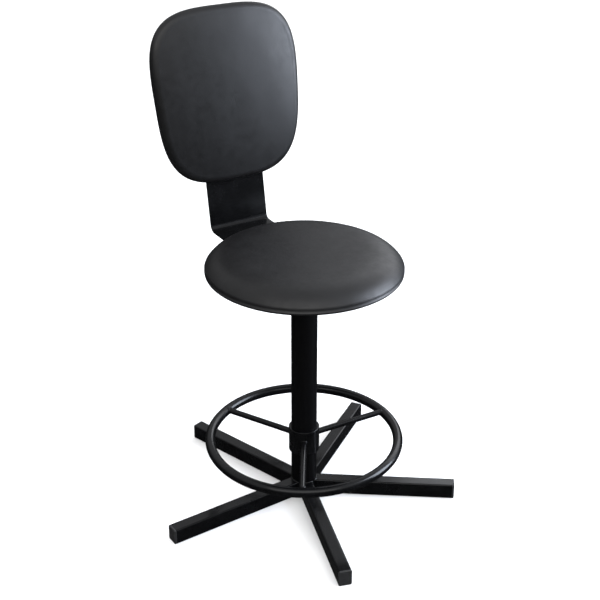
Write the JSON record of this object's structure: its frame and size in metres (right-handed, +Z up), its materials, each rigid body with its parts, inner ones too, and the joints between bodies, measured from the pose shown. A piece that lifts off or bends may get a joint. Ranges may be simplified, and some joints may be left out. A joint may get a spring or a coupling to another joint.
{
  "type": "drafting chair",
  "caption": "Armless drafting chair: round padded seat on a screw lift, flat-strap backrest, welded tube base and height-adjustable foot ring.",
  "frame": {"origin": "on the floor, on the axis of the column", "axes": "+Z up along the column; the sitter faces -Y and the backrest is at +Y; +X to the sitter's left"},
  "size_m": [0.5613, 0.6162, 0.9289],
  "materials": {
    "gloss_black_paint": "gloss black enamel",
    "satin_black_paint": "satin black enamel",
    "black_vinyl": "smooth black upholstery vinyl",
    "black_liner": "black lining cloth",
    "black_plastic": "moulded black plastic",
    "white_plastic": "natural slippery plastic",
    "machined_steel": "machined and oiled",
    "zinc_plated_steel": "zinc plated",
    "plywood": "raw plywood",
    "foam": "open-cell foam"
  },
  "bodies": {
    "base": {"column_tube": "satin_black_paint", "column_plug": "black_plastic", "base_leg_1": "gloss_black_paint", "base_leg_2": "gloss_black_paint", "base_leg_3": "gloss_black_paint", "base_leg_4": "gloss_black_paint", "base_leg_5": "gloss_black_paint", "leg_cap_1": "black_plastic", "leg_cap_2": "black_plastic", "leg_cap_3": "black_plastic", "leg_cap_4": "black_plastic", "leg_cap_5": "black_plastic", "spindle_nut": "machined_steel"},
    "footrest": {"ring_collar": "gloss_black_paint", "foot_ring": "gloss_black_paint", "ring_spoke_1": "gloss_black_paint", "ring_spoke_2": "gloss_black_paint", "ring_spoke_3": "gloss_black_paint", "clamp_boss": "gloss_black_paint"},
    "clamp_slider": {"clamp_pad": "white_plastic"},
    "clamp_screw_set": {"clamp_screw": "machined_steel", "clamp_knob": "black_plastic"},
    "lift": {"spindle_guide": "white_plastic"},
    "seat": {"lift_spindle": "machined_steel", "stop_washer": "zinc_plated_steel", "stop_nut": "zinc_plated_steel", "seat_plate": "gloss_black_paint", "seat_board": "plywood", "seat_foam": "foam", "seat_cover": "black_vinyl", "seat_dust_cover": "black_liner", "seat_bolts": "zinc_plated_steel", "seat_tee_nuts": "zinc_plated_steel", "back_strap": "gloss_black_paint", "back_board": "plywood", "back_foam": "foam", "back_cover": "black_vinyl", "back_liner": "black_liner", "back_bolts": "zinc_plated_steel", "back_tee_nuts": "zinc_plated_steel"}
  },
  "joints": [
    {"name": "seat_height", "type": "slide", "parent": "base", "child": "lift", "axis": [0, 0, 1], "range_m": [-0.0218, 0.1202]},
    {"name": "seat_turn", "type": "hinge", "parent": "lift", "child": "seat", "pos_m": [0, 0, 0.45], "axis": [0, 0, 1], "range_deg": [-1296, 7200]},
    {"name": "footrest_slide", "type": "slide", "parent": "base", "child": "footrest", "axis": [0, 0, 1], "range_m": [-0.06, 0.22]},
    {"name": "clamp_travel", "type": "slide", "parent": "footrest", "child": "clamp_slider", "axis": [0.5329, 0.8462, 0], "range_m": [0, 0.0025]},
    {"name": "clamp_turn", "type": "hinge", "parent": "clamp_slider", "child": "clamp_screw_set", "pos_m": [0.02345, 0.03723, 0.1275], "axis": [0.5329, 0.8462, 0], "range_deg": [0, 722]}
  ],
  "couplings": [
    {"joint": "seat_height", "follows": "seat_turn", "m_per_rad": 0.00095493},
    {"joint": "clamp_turn", "follows": "clamp_travel", "rad_per_m": 5026.5}
  ]
}
